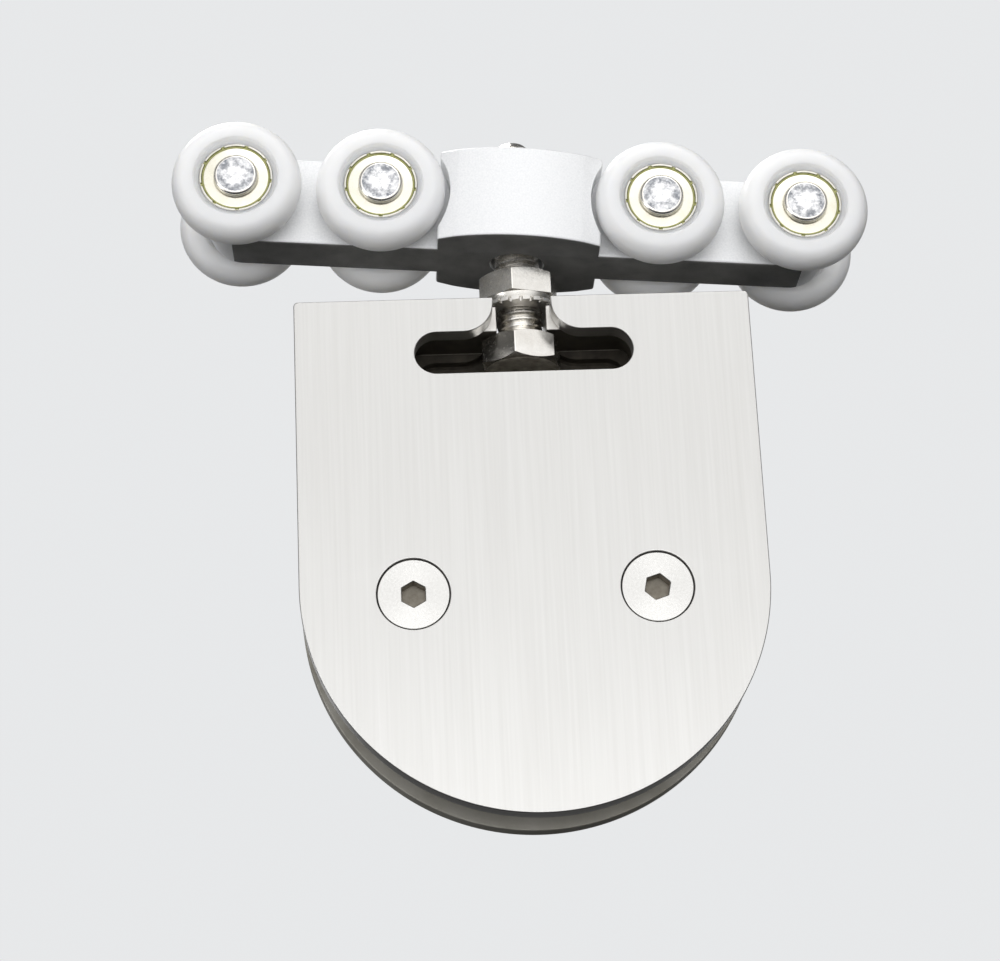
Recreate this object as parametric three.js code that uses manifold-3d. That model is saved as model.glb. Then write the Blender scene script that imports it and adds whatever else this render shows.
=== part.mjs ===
// Sliding door roller for a frameless glass door.
//
// An eight-wheeled carriage runs in an overhead rail. A bolt hangs from a swivelling, rocking bush inside
// the carriage and carries a D-shaped clamp, whose two steel plates grip the top edge of the glass.
//
// Millimetres, +Z up. The rail and the clamp's width lie along X, the front is -Y. The origin is on the
// bolt's axis, in the plane of the glass's top edge and in the middle of its thickness.

import * as THREE from 'three';
import { mergeVertices } from 'three/addons/utils/BufferGeometryUtils.js';
import Module from 'manifold-3d';

const wasm = await Module();
wasm.setup();

// ---------------------------------------------------------------- driving dimensions

// Clamp
const CLAMP_WIDTH = 80;
const CLAMP_TOP = 21;          // height of the plates' top edge over the glass's top edge
const CLAMP_SIDE = 52;         // straight side, down to where the half circle starts
const PLATE_THICKNESS = 4;
const GLASS_GAP = 10.6;        // between the plates' inner faces
const GASKET_THICKNESS = 1.2;
const FIT = 0.1;               // gap between pieces that touch
const THREAD_FIT = 0.3;        // radial gap in a threaded or drilled hole

// T-slot of the clamp
const SLOT_HALF_LENGTH = 19.1;
const SLOT_TOP = CLAMP_TOP - 6.35;
const SLOT_BOTTOM = CLAMP_TOP - 14.05;
const NECK_HALF_WIDTH = 5.1;
const NECK_FILLET = 5.4;
const NOTCH_HALF_WIDTH = 4.4;  // the block's narrower neck, just over the bolt's radius
const SHOULDER_Z = CLAMP_TOP - 4.8;
const POCKET_DEPTH = 2.6;      // blind T-slot in the back plate's inner face, room for the bolt's head

// Clamp screws, M6 countersunk
const SCREW_X = 20.7;
const SCREW_Z = CLAMP_TOP - 53.8;
const SCREW_RADIUS = 3;
const SCREW_HEAD_RADIUS = 6.1;
const SCREW_SINK = 0.35;       // how deep the head lies under the plate's face
const SCREW_RIM = 0.3;         // straight rim of the countersunk head
const SCREW_LENGTH = 17.6;
const SCREW_SOCKET_FLATS = 4;

// Hanger bolt, M8
const BOLT_RADIUS = 4;
const HEX_FLATS = 13;
const BOLT_HEAD_HEIGHT = 5.3;
const BOLT_TOP = CLAMP_TOP + 33.2;
const NUT_HEIGHT = 6;
const WASHER_THICKNESS = 1.1;
const HEX_TURN = -11;          // degrees that the nut's and the head's corners are turned about the axis

// Carriage
const WHEEL_RADIUS = 11.5;
const WHEEL_HALF_WIDTH = 3.4;
const WHEEL_NEAR = 24.9;       // from the carriage's middle to the inner wheels' axle
const WHEEL_FAR = 50.5;        // and to the outer wheels' axle
const WHEEL_OFFSET = 9.35;     // from the carriage's middle plane to a wheel's middle plane
const AXLE_OVER_FLOOR = 9.2;   // axle height over the carriage's underside
const BAR_HALF_THICKNESS = 5.1;
const BAR_TOP = 7.3;           // over the axles
const BAR_HALF_LENGTH = 56;
const BLOCK_HALF_LENGTH = 14.5;
const BLOCK_TOP = 8;
const BLOCK_HALF_THICKNESS = 12.9;
const AXLE_RADIUS = 2;
const AXLE_HEAD_RADIUS = 3.75;
const AXLE_HEAD_HEIGHT = 1.25;

// Bearing, 4 x 13 x 5
const BEARING_HALF_WIDTH = 2.5;
const OUTER_RACE_OUTSIDE = 6.45;
const OUTER_RACE_INSIDE = 5.3;
const SHIELD_SEAT_RADIUS = 6;  // recess in the outer race's face, which holds the shield
const SHIELD_SEAT_DEPTH = 0.55;
const SHIELD_BORE = 3.4;
const SHIELD_THICKNESS = 0.35;
const INNER_RACE_OUTSIDE = 3.1;
const INNER_RACE_INSIDE = AXLE_RADIUS + FIT;
const BALL_RADIUS = 0.95;
const BALL_COUNT = 7;
const BALL_CIRCLE = (INNER_RACE_OUTSIDE + OUTER_RACE_INSIDE) / 2;

// Rocking seat: the carriage's dome, its centre on the underside of the carriage
const ROCK_ANGLE = 4.5;        // degrees that the carriage leans on the hanger at rest
const SEAT_Z = 31.1;           // height of the dome's centre
const SEAT_RADIUS = 9;
const SEAT_GAP = 0.3;
const WASHER_BORE = 5.6;
const WASHER_OUTSIDE = 8;
const WASHER_TOP = 9.6;        // over the dome's centre
const BUSH_FLANGE_RADIUS = 7.8;
const BUSH_FLANGE_HEIGHT = 2.4;
const BUSH_TOP = 16.4;         // over the dome's centre
const BORE_RADIUS = 9.5;
const UNDER_HOLE_RADIUS = 4.75;
const UNDER_HOLE_TOP_RADIUS = 5.1;

// Sides of a round shape
const SEGMENTS = 24;
const TYRE_SEGMENTS = 20;
const AXLE_SEGMENTS = 16;
const RACE_SEGMENTS = 14;

// Derived
const CLAMP_RADIUS = CLAMP_WIDTH / 2;
const ARC_Z = CLAMP_TOP - CLAMP_SIDE;
const HALF_GAP = GLASS_GAP / 2;
const FRONT_Y = -HALF_GAP - PLATE_THICKNESS;
const NUT_BOTTOM = CLAMP_TOP + FIT + WASHER_THICKNESS + FIT;
const rad = THREE.MathUtils.degToRad;

// ---------------------------------------------------------------- materials

const material = (color, roughness, metalness) =>
  new THREE.MeshStandardMaterial({ color, roughness, metalness });

const brushedSteel = material(0xd9d8d4, 0.35, 1);
const plainSteel = material(0xbdbbb4, 0.3, 1);
const polishedSteel = material(0xe6e4de, 0.18, 1);
const castPaint = material(0xe4e7ea, 0.55, 0.2);
const nylon = material(0xf2f3f1, 0.4, 0);
const shieldSteel = material(0xe9e5d2, 0.3, 0.9);
const rubber = material(0x2b2b2c, 0.85, 0);
const clearPlastic = material(0xdadcd8, 0.4, 0);

// ---------------------------------------------------------------- solids

/** Signed volume of an indexed triangle mesh: negative where its faces point in. */
function signedVolume(position, index) {
  const corner = [0, 1, 2].map(() => new THREE.Vector3());
  let volume = 0;
  for (let i = 0; i < index.length; i += 3) {
    corner.forEach((c, k) => c.fromBufferAttribute(position, index[i + k]));
    volume += corner[0].dot(corner[1].clone().cross(corner[2])) / 6;
  }
  return volume;
}

/** Merge shared vertices, drop collapsed triangles and turn the faces out. */
function closed(geometry) {
  geometry.deleteAttribute('normal');
  geometry.deleteAttribute('uv');
  const merged = mergeVertices(geometry, 1e-4);
  const kept = [];
  for (let i = 0; i < merged.index.count; i += 3) {
    const [a, b, c] = [0, 1, 2].map((k) => merged.index.getX(i + k));
    if (a !== b && b !== c && c !== a) kept.push(a, b, c);
  }
  if (signedVolume(merged.getAttribute('position'), kept) < 0) kept.reverse();
  merged.setIndex(kept);
  merged.computeVertexNormals();
  return merged;
}

function toManifold(geometry) {
  const solid = closed(geometry);
  const vertProperties = Float32Array.from(solid.getAttribute('position').array);
  const triVerts = Uint32Array.from(solid.index.array);
  return new wasm.Manifold(new wasm.Mesh({ numProp: 3, vertProperties, triVerts }));
}

function fromManifold(manifold) {
  const { vertProperties, triVerts } = manifold.getMesh();
  const geometry = new THREE.BufferGeometry();
  geometry.setAttribute('position', new THREE.BufferAttribute(vertProperties, 3));
  geometry.setIndex(Array.from(triVerts));
  geometry.computeVertexNormals();
  return geometry;
}

/** Solid of the first geometry, joined with the added ones and cut by the others. */
function carve(base, { add = [], cut = [] }) {
  const joined = add.reduce((sum, tool) => sum.add(toManifold(tool)), toManifold(base));
  return fromManifold(cut.reduce((rest, tool) => rest.subtract(toManifold(tool)), joined));
}

// ---------------------------------------------------------------- shape helpers

/** Points of an arc from angle a0 to a1 (degrees), both ends included. */
function arc(cx, cy, radius, a0, a1, steps) {
  const points = [];
  for (let i = 0; i <= steps; i += 1) {
    const a = rad(a0 + ((a1 - a0) * i) / steps);
    points.push(new THREE.Vector2(cx + radius * Math.cos(a), cy + radius * Math.sin(a)));
  }
  return points;
}

/** Sheet of an (x, z) outline, lying between y0 and y1. */
function sheet(outline, y0, y1, holes = []) {
  const shape = new THREE.Shape(outline);
  shape.holes = holes.map((hole) => new THREE.Path(hole));
  const geometry = new THREE.ExtrudeGeometry(shape, { depth: y1 - y0, bevelEnabled: false });
  geometry.rotateX(Math.PI / 2);
  return geometry.translate(0, y1, 0);
}

/** Prism of an (x, y) outline, standing between z0 and z1. */
function prism(outline, z0, z1) {
  const geometry = new THREE.ExtrudeGeometry(new THREE.Shape(outline), { depth: z1 - z0, bevelEnabled: false });
  return geometry.translate(0, 0, z0);
}

/** Body turned about the Y axis from (radius, y) points; a ring's profile closes on itself. */
function turnedY(points, segments, ring = false) {
  const profile = points.map(([r, y]) => new THREE.Vector2(r, y));
  if (ring) profile.push(profile[0].clone());
  return new THREE.LatheGeometry(profile, segments);
}

/** The same about the Z axis. */
const turnedZ = (points, segments, ring = false) => turnedY(points, segments, ring).rotateX(Math.PI / 2);

const hexagon = (flats, turn) => arc(0, 0, flats / Math.sqrt(3), turn - 90, turn + 210, 5);

/** Hexagon prism about Z whose corners are chamfered at the ends asked for. */
function hexPrism(flats, z0, z1, turn, chamferLow, chamferHigh) {
  const corner = flats / Math.sqrt(3) + 0.02;
  const face = flats / 2 - 0.3;
  const drop = (corner - face) * Math.tan(rad(30));
  const profile = [[0, z0]];
  profile.push(...(chamferLow ? [[face, z0], [corner, z0 + drop]] : [[corner, z0]]));
  profile.push(...(chamferHigh ? [[corner, z1 - drop], [face, z1]] : [[corner, z1]]));
  profile.push([0, z1]);
  const turned = toManifold(turnedZ(profile, SEGMENTS));
  return fromManifold(toManifold(prism(hexagon(flats, turn), z0, z1)).intersect(turned));
}

// ---------------------------------------------------------------- clamp

/** D outline, inset all round, whose flat top lies at z = top. */
function dOutline(inset, top, cornerRadius) {
  const half = CLAMP_RADIUS - inset;
  return [
    ...arc(0, ARC_Z, half, 180, 360, 26),
    ...arc(half - cornerRadius, top - cornerRadius, cornerRadius, 0, 90, 3),
    ...arc(-half + cornerRadius, top - cornerRadius, cornerRadius, 90, 180, 3),
  ];
}

/** T-slot cut: a long slot with round ends and a neck that flares into it. */
function slotOutline() {
  const endRadius = (SLOT_TOP - SLOT_BOTTOM) / 2;
  const endX = SLOT_HALF_LENGTH - endRadius;
  const endZ = SLOT_BOTTOM + endRadius;
  const filletX = NECK_HALF_WIDTH + NECK_FILLET;
  const filletZ = SLOT_TOP + NECK_FILLET;
  const over = CLAMP_TOP + 2;
  return [
    ...arc(-endX, endZ, endRadius, 270, 90, 10),
    ...arc(-filletX, filletZ, NECK_FILLET, -90, 0, 8),
    new THREE.Vector2(-NECK_HALF_WIDTH, over),
    new THREE.Vector2(NECK_HALF_WIDTH, over),
    ...arc(filletX, filletZ, NECK_FILLET, 180, 270, 8),
    ...arc(endX, endZ, endRadius, 90, -90, 10),
  ];
}

const screwHole = (x, radius) => arc(x, SCREW_Z, radius, 0, 345, SEGMENTS - 1);
const dPlate = (y0, y1, holeRadius) =>
  sheet(dOutline(0, CLAMP_TOP, 1), y0, y1, [-SCREW_X, SCREW_X].map((x) => screwHole(x, holeRadius)));

function frontPlate() {
  const lip = SCREW_HEAD_RADIUS + 0.15;
  const hole = SCREW_RADIUS + THREAD_FIT;
  const coneFrom = SCREW_SINK + SCREW_RIM + 0.05;
  const coneTo = coneFrom + lip - hole;
  const sink = [[0, -1], [lip, -1], [lip, coneFrom], [hole, coneTo], [0, coneTo]];
  const countersinks = [-SCREW_X, SCREW_X].map((x) => turnedY(sink, SEGMENTS).translate(x, FRONT_Y, SCREW_Z));
  const slot = sheet(slotOutline(), FRONT_Y - 1, 1 - HALF_GAP);
  return carve(dPlate(FRONT_Y, -HALF_GAP, hole), { cut: [slot, ...countersinks] });
}

function backPlate() {
  const plate = dPlate(HALF_GAP, -FRONT_Y, SCREW_RADIUS + THREAD_FIT);
  return carve(plate, { cut: [sheet(slotOutline(), HALF_GAP - 1, HALF_GAP + POCKET_DEPTH)] });
}

/** Bevel of one of the block's lower edges, which leaves its underside as wide as the gap between the gaskets. */
function lowerBevel(side, halfLength, y) {
  const underside = HALF_GAP - GASKET_THICKNESS - 2 * FIT;
  const over = 0.5;
  const corners = [[-over, underside - over], [-over, y + over], [y - underside + over, y + over]];
  const outline = corners.map(([z, v]) => new THREE.Vector2(-z, side * v));
  return prism(outline, -halfLength - 1, halfLength + 1).rotateY(Math.PI / 2);
}

/** Spacer between the plates: its shoulders rest on the bolt's head, its underside on the glass's edge. */
function hangerBlock() {
  const half = CLAMP_RADIUS - 0.6;
  const y = HALF_GAP - FIT;
  const cavityEnd = SLOT_HALF_LENGTH + 0.6;
  const cavityBottom = SLOT_BOTTOM - 0.4;
  const corner = (x, z) => new THREE.Vector2(x, z);
  const body = sheet([
    corner(-half, 0),
    corner(half, 0),
    corner(half, CLAMP_TOP - FIT),
    corner(NOTCH_HALF_WIDTH, CLAMP_TOP - FIT),
    corner(NOTCH_HALF_WIDTH, SHOULDER_Z),
    ...arc(cavityEnd - 2, SHOULDER_Z - 2, 2, 90, 0, 3),
    ...arc(cavityEnd - 2, cavityBottom + 2, 2, 0, -90, 3),
    ...arc(2 - cavityEnd, cavityBottom + 2, 2, 270, 180, 3),
    ...arc(2 - cavityEnd, SHOULDER_Z - 2, 2, 180, 90, 3),
    corner(-NOTCH_HALF_WIDTH, SHOULDER_Z),
    corner(-NOTCH_HALF_WIDTH, CLAMP_TOP - FIT),
    corner(-half, CLAMP_TOP - FIT),
  ], -y, y);
  return carve(body, { cut: [-1, 1].map((side) => lowerBevel(side, half, y)) });
}

function gasket(y0, y1) {
  const holes = [-SCREW_X, SCREW_X].map((x) => screwHole(x, 5.4));
  return sheet(dOutline(3.5, -0.6, 1.5), y0, y1, holes);
}

function glassSleeve() {
  const half = HALF_GAP - GASKET_THICKNESS - 2 * FIT;
  const bore = SCREW_RADIUS + THREAD_FIT;
  return turnedY([[bore, -half], [5, -half], [5, half], [bore, half]], SEGMENTS, true);
}

/** Countersunk screw along +Y, the rim of its head at y = 0. */
function clampScrew() {
  const cone = SCREW_HEAD_RADIUS - SCREW_RADIUS;
  const end = SCREW_LENGTH;
  const body = turnedY([
    [0, 0], [SCREW_HEAD_RADIUS, 0], [SCREW_HEAD_RADIUS, SCREW_RIM], [SCREW_RADIUS, SCREW_RIM + cone],
    [SCREW_RADIUS, end - 0.8], [SCREW_RADIUS - 0.8, end], [0, end],
  ], SEGMENTS);
  const socket = sheet(hexagon(SCREW_SOCKET_FLATS, 0), -1, 2.4);
  return carve(body, { cut: [socket] });
}

// ---------------------------------------------------------------- hanger

function hangerBolt() {
  const headBottom = SHOULDER_Z - FIT - BOLT_HEAD_HEIGHT;
  const head = hexPrism(HEX_FLATS, headBottom, headBottom + BOLT_HEAD_HEIGHT, HEX_TURN, true, false);
  const shank = turnedZ([
    [0, headBottom + 1], [BOLT_RADIUS, headBottom + 1],
    [BOLT_RADIUS, BOLT_TOP - 1.2], [BOLT_RADIUS - 1.2, BOLT_TOP], [0, BOLT_TOP],
  ], SEGMENTS);
  return carve(head, { add: [shank] });
}

const boreTool = (z0, z1) => turnedZ([
  [0, z0 - 1], [BOLT_RADIUS + THREAD_FIT, z0 - 1], [BOLT_RADIUS + THREAD_FIT, z1 + 1], [0, z1 + 1],
], SEGMENTS);

function lockNut() {
  const top = NUT_BOTTOM + NUT_HEIGHT;
  return carve(hexPrism(HEX_FLATS, NUT_BOTTOM, top, HEX_TURN, true, true), { cut: [boreTool(NUT_BOTTOM, top)] });
}

/** Washer with teeth round its rim. */
function lockWasher() {
  const teeth = 12;
  const outline = [];
  for (let i = 0; i < teeth; i += 1) {
    const a = (360 / teeth) * i;
    outline.push(...arc(0, 0, 7.5, a - 9, a + 9, 2), ...arc(0, 0, 6.3, a + 12, a + 18, 1));
  }
  const bottom = CLAMP_TOP + FIT;
  const top = bottom + WASHER_THICKNESS;
  return carve(prism(outline, bottom, top), { cut: [boreTool(bottom, top)] });
}

/** Height of a sphere about the seat's centre at a distance r from the axis. */
const dome = (sphere, r) => Math.sqrt(sphere ** 2 - r ** 2);

function rockerWasher() {
  const under = SEAT_RADIUS + SEAT_GAP;
  const steps = 4;
  const profile = [[WASHER_OUTSIDE, WASHER_TOP], [WASHER_BORE, WASHER_TOP]];
  for (let i = 0; i <= steps; i += 1) {
    const r = WASHER_BORE + ((WASHER_OUTSIDE - WASHER_BORE) * i) / steps;
    profile.push([r, dome(under, r)]);
  }
  return turnedZ(profile.map(([r, z]) => [r, SEAT_Z + z]), SEGMENTS, true);
}

/** Nut inside the carriage: a collar in the rocker washer, a flange on it and a hexagon on top. */
function threadedBush() {
  const flangeBottom = SEAT_Z + WASHER_TOP + SEAT_GAP;
  const flangeTop = flangeBottom + BUSH_FLANGE_HEIGHT;
  const collarBottom = SEAT_Z + 8.2;
  const top = SEAT_Z + BUSH_TOP;
  const flange = turnedZ([
    [0, collarBottom], [WASHER_BORE - SEAT_GAP, collarBottom], [WASHER_BORE - SEAT_GAP, flangeBottom],
    [BUSH_FLANGE_RADIUS, flangeBottom], [BUSH_FLANGE_RADIUS, flangeTop], [0, flangeTop],
  ], SEGMENTS);
  const hex = hexPrism(11, flangeTop - 0.5, top, 0, false, true);
  return carve(flange, { add: [hex], cut: [boreTool(collarBottom, top)] });
}

// ---------------------------------------------------------------- carriage, in its own frame
// u along the bar, v across it (+v to the back), w up from the seat's centre on the underside.

const wheelU = [-WHEEL_FAR, -WHEEL_NEAR, WHEEL_NEAR, WHEEL_FAR];

/** Side view of the bar: straight, with rounded lower and upper corners at its ends. */
function barOutline() {
  const top = AXLE_OVER_FLOOR + BAR_TOP;
  const r = 6.5;
  return [
    ...arc(BAR_HALF_LENGTH - r, r, r, -90, 0, 5),
    ...arc(BAR_HALF_LENGTH - r, top - r, r, 0, 90, 5),
    ...arc(r - BAR_HALF_LENGTH, top - r, r, 90, 180, 5),
    ...arc(r - BAR_HALF_LENGTH, r, r, 180, 270, 5),
  ];
}

/** Plan of the block: bulged front and back with short flats next to its ends. */
function blockOutline() {
  const bend = 11.6;
  const bendV = 11;
  const endV = 9.6;
  const bulge = BLOCK_HALF_THICKNESS - bendV;
  const radius = (bend ** 2 + bulge ** 2) / (2 * bulge);
  const centre = BLOCK_HALF_THICKNESS - radius;
  const spread = THREE.MathUtils.radToDeg(Math.asin(bend / radius));
  const p = (u, v) => new THREE.Vector2(u, v);
  return [
    p(-BLOCK_HALF_LENGTH, -endV),
    ...arc(0, -centre, radius, 270 - spread, 270 + spread, 10),
    p(BLOCK_HALF_LENGTH, -endV),
    p(BLOCK_HALF_LENGTH, endV),
    ...arc(0, centre, radius, 90 - spread, 90 + spread, 10),
    p(-BLOCK_HALF_LENGTH, endV),
  ];
}

/** Room for the inner wheels, cut out of the block's four ends. */
function wheelRoom(u, side) {
  const radius = WHEEL_RADIUS + 0.9;
  const depth = 10;
  const middle = side * (BAR_HALF_THICKNESS + depth / 2);
  const cylinder = new THREE.CylinderGeometry(radius, radius, depth, 32);
  return cylinder.translate(u, middle, AXLE_OVER_FLOOR);
}

/** Hole of the hanger: open underneath, a dome for the rocker washer, a wide bore above. */
function seatTool() {
  const steps = 5;
  const profile = [[0, -1], [UNDER_HOLE_RADIUS, -1], [UNDER_HOLE_RADIUS, 1.5]];
  for (let i = 0; i <= steps; i += 1) {
    const r = UNDER_HOLE_TOP_RADIUS + ((8.6 - UNDER_HOLE_TOP_RADIUS) * i) / steps;
    profile.push([r, dome(SEAT_RADIUS, r)]);
  }
  profile.push([BORE_RADIUS, dome(SEAT_RADIUS, 8.6)], [BORE_RADIUS, 30], [0, 30]);
  return turnedZ(profile, SEGMENTS);
}

function carriageBody() {
  const bar = sheet(barOutline(), -BAR_HALF_THICKNESS, BAR_HALF_THICKNESS);
  const block = prism(blockOutline(), 0, AXLE_OVER_FLOOR + BLOCK_TOP);
  const rooms = [-WHEEL_NEAR, WHEEL_NEAR].flatMap((u) => [-1, 1].map((side) => wheelRoom(u, side)));
  const bossEnd = WHEEL_OFFSET - BEARING_HALF_WIDTH - FIT;
  const boss = (u) => new THREE.CylinderGeometry(2.9, 2.9, 2 * bossEnd, AXLE_SEGMENTS)
    .translate(u, 0, AXLE_OVER_FLOOR);
  const bore = (u) => new THREE.CylinderGeometry(AXLE_RADIUS + 0.15, AXLE_RADIUS + 0.15, 40, AXLE_SEGMENTS)
    .translate(u, 0, AXLE_OVER_FLOOR);
  const shapedBlock = carve(block, { cut: rooms });
  return carve(bar, { add: [shapedBlock, ...wheelU.map(boss)], cut: [...wheelU.map(bore), seatTool()] });
}

/** Through axle along Y with a riveted head at each end. */
function axle() {
  const headFrom = WHEEL_OFFSET + BEARING_HALF_WIDTH + FIT;
  const headTo = headFrom + AXLE_HEAD_HEIGHT;
  const half = [
    [AXLE_RADIUS, headFrom], [AXLE_HEAD_RADIUS, headFrom],
    [AXLE_HEAD_RADIUS, headTo - 0.5], [AXLE_HEAD_RADIUS - 0.5, headTo], [0, headTo],
  ];
  const mirrored = half.map(([r, y]) => [r, -y]).reverse();
  return turnedY([...mirrored, ...half], AXLE_SEGMENTS);
}

// ---------------------------------------------------------------- wheel, axis along Y, outer side +Y

/** Tyre with a rounded tread and a sloping lip down to the recessed bearing. */
function tyre() {
  const bore = OUTER_RACE_OUTSIDE + FIT + 0.05;
  const lip = BEARING_HALF_WIDTH;
  const lipRadius = 7.4;
  const side = WHEEL_HALF_WIDTH;
  const rim = 9.1;
  const crown = (angle) => {
    const a = rad(angle);
    return [rim + (WHEEL_RADIUS - rim) * Math.cos(a), side * Math.sin(a)];
  };
  const round = [-58, -28, 0, 28, 58].map(crown);
  return turnedY([
    [bore, -lip], [lipRadius, -side], [rim, -side], ...round, [rim, side], [lipRadius, side], [bore, lip],
  ], TYRE_SEGMENTS, true);
}

/** Outer race with its inner shield pressed in and a recess for the outer one. */
function outerRace() {
  const half = BEARING_HALF_WIDTH;
  const seat = half - SHIELD_SEAT_DEPTH;
  const inner = SHIELD_THICKNESS - half;
  return turnedY([
    [OUTER_RACE_OUTSIDE, -half], [OUTER_RACE_OUTSIDE, half], [SHIELD_SEAT_RADIUS, half],
    [SHIELD_SEAT_RADIUS, seat], [OUTER_RACE_INSIDE, seat],
    [OUTER_RACE_INSIDE, inner], [SHIELD_BORE, inner], [SHIELD_BORE, -half],
  ], RACE_SEGMENTS, true);
}

function innerRace() {
  const half = BEARING_HALF_WIDTH;
  return turnedY([
    [INNER_RACE_OUTSIDE, -half], [INNER_RACE_OUTSIDE, half], [INNER_RACE_INSIDE, half], [INNER_RACE_INSIDE, -half],
  ], RACE_SEGMENTS, true);
}

/** Outer shield, in the recess of the outer race. */
function shield() {
  const from = BEARING_HALF_WIDTH - SHIELD_SEAT_DEPTH + FIT / 2;
  const to = from + SHIELD_THICKNESS;
  const rim = SHIELD_SEAT_RADIUS - FIT - 0.05;
  return turnedY([[rim, from], [rim, to], [SHIELD_BORE, to], [SHIELD_BORE, from]], RACE_SEGMENTS, true);
}

/** Cage ring that swells to the size of a ball at each of its balls. */
function ballCage() {
  const wire = 0.35;
  const between = 3;
  const ring = new THREE.TorusGeometry(BALL_CIRCLE, wire, 6, BALL_COUNT * between).rotateX(Math.PI / 2);
  const place = ring.getAttribute('position');
  const centre = new THREE.Vector3();
  const point = new THREE.Vector3();
  for (let i = 0; i < place.count; i += 1) {
    point.fromBufferAttribute(place, i);
    centre.set(point.x, 0, point.z).setLength(BALL_CIRCLE);
    const step = Math.round((Math.atan2(point.z, point.x) / (2 * Math.PI)) * BALL_COUNT * between);
    const swell = step % between === 0 ? BALL_RADIUS / wire : 1;
    point.sub(centre).multiplyScalar(swell).add(centre);
    place.setXYZ(i, point.x, point.y, point.z);
  }
  return ring;
}

// ---------------------------------------------------------------- assembly

function piece(name, geometry, look) {
  const mesh = new THREE.Mesh(closed(geometry), look);
  mesh.name = name;
  return mesh;
}

function wheel(label) {
  const group = new THREE.Group();
  group.add(
    piece(`tyre_${label}`, tyre(), nylon),
    piece(`outer_race_${label}`, outerRace(), plainSteel),
    piece(`inner_race_${label}`, innerRace(), plainSteel),
    piece(`ball_cage_${label}`, ballCage(), polishedSteel),
    piece(`shield_${label}`, shield(), shieldSteel),
  );
  return group;
}

function carriage() {
  const group = new THREE.Group();
  group.position.z = SEAT_Z;
  group.rotation.y = rad(ROCK_ANGLE);
  group.add(piece('carriage_body', carriageBody(), castPaint));
  wheelU.forEach((u, i) => {
    const pin = piece(`axle_${i + 1}`, axle(), polishedSteel);
    pin.position.set(u, 0, AXLE_OVER_FLOOR);
    group.add(pin);
    [['front', -1], ['back', 1]].forEach(([end, side]) => {
      const set = wheel(`${end}_${i + 1}`);
      set.position.set(u, side * WHEEL_OFFSET, AXLE_OVER_FLOOR);
      if (side < 0) set.rotation.z = Math.PI;
      group.add(set);
    });
  });
  return group;
}

function hanger() {
  const group = new THREE.Group();
  group.add(
    piece('rocker_washer', rockerWasher(), plainSteel),
    piece('threaded_bush', threadedBush(), plainSteel),
    piece('hanger_bolt', hangerBolt(), polishedSteel),
    piece('lock_nut', lockNut(), polishedSteel),
    piece('lock_washer', lockWasher(), plainSteel),
  );
  return group;
}

function clamp() {
  const group = new THREE.Group();
  const inner = HALF_GAP - FIT;
  group.add(
    piece('hanger_block', hangerBlock(), plainSteel),
    piece('front_plate', frontPlate(), brushedSteel),
    piece('back_plate', backPlate(), brushedSteel),
    piece('front_gasket', gasket(-inner, -inner + GASKET_THICKNESS), rubber),
    piece('back_gasket', gasket(inner - GASKET_THICKNESS, inner), rubber),
  );
  [['left', -SCREW_X], ['right', SCREW_X]].forEach(([side, x]) => {
    const screw = piece(`clamp_screw_${side}`, clampScrew(), polishedSteel);
    screw.position.set(x, FRONT_Y + SCREW_SINK, SCREW_Z);
    const sleeve = piece(`glass_sleeve_${side}`, glassSleeve(), clearPlastic);
    sleeve.position.set(x, 0, SCREW_Z);
    group.add(screw, sleeve);
  });
  return group;
}

const roller = new THREE.Group();
roller.add(carriage(), hanger(), clamp());

export default roller;
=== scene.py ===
"""Looks of a sliding door roller: an eight-wheeled carriage, its hanger bolt and a D-shaped glass clamp.

Sizes are in millimetres until a mesh is made. The hanger's and the clamp's pieces are built where they
stand. The wheels, axles, casting, screws and sleeves are built in frames of their own, and are then placed
by a matrix worked out from the CAD nodes.
"""

import math

import bmesh
import bpy
from mathutils import Matrix, Quaternion, Vector, noise


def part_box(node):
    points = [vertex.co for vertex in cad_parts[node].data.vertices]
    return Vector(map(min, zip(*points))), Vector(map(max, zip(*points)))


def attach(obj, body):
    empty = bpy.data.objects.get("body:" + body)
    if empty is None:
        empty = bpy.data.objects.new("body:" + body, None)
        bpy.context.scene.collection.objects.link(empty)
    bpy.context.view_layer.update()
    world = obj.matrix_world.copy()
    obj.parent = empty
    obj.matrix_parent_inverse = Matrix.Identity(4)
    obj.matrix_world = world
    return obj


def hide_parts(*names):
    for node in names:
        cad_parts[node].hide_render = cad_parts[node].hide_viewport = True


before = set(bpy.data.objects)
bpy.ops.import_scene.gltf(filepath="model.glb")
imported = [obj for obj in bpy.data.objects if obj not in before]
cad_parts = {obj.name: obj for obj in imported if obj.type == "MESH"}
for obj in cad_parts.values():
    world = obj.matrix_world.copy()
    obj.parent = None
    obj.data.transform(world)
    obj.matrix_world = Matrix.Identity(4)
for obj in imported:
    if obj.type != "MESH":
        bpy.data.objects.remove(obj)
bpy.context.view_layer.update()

MM = 0.001

# -------------------- sizes, as the CAD model has them

PLATE_THICKNESS = 4.0
CLAMP_TOP = 21.0
CLAMP_RADIUS = 40.0
ARC_Z = -31.0
SLOT_HALF_LENGTH = 19.1
SLOT_TOP = 14.65
SLOT_BOTTOM = 6.95
NECK_HALF_WIDTH = 5.1
NECK_FILLET = 5.4
NOTCH_HALF_WIDTH = 4.4
SHOULDER_Z = 16.2
POCKET_DEPTH = 2.6
HALF_GAP = 5.3
GASKET_THICKNESS = 1.2
SCREW_HEAD_RADIUS = 6.1
HEX_TURN = -11.0
HEX_FLATS = 13.0
WHEEL_RADIUS = 11.5
WHEEL_HALF_WIDTH = 3.4
AXLE_OVER_FLOOR = 9.2
WHEEL_NEAR = 24.9
WHEEL_FAR = 50.5
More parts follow.
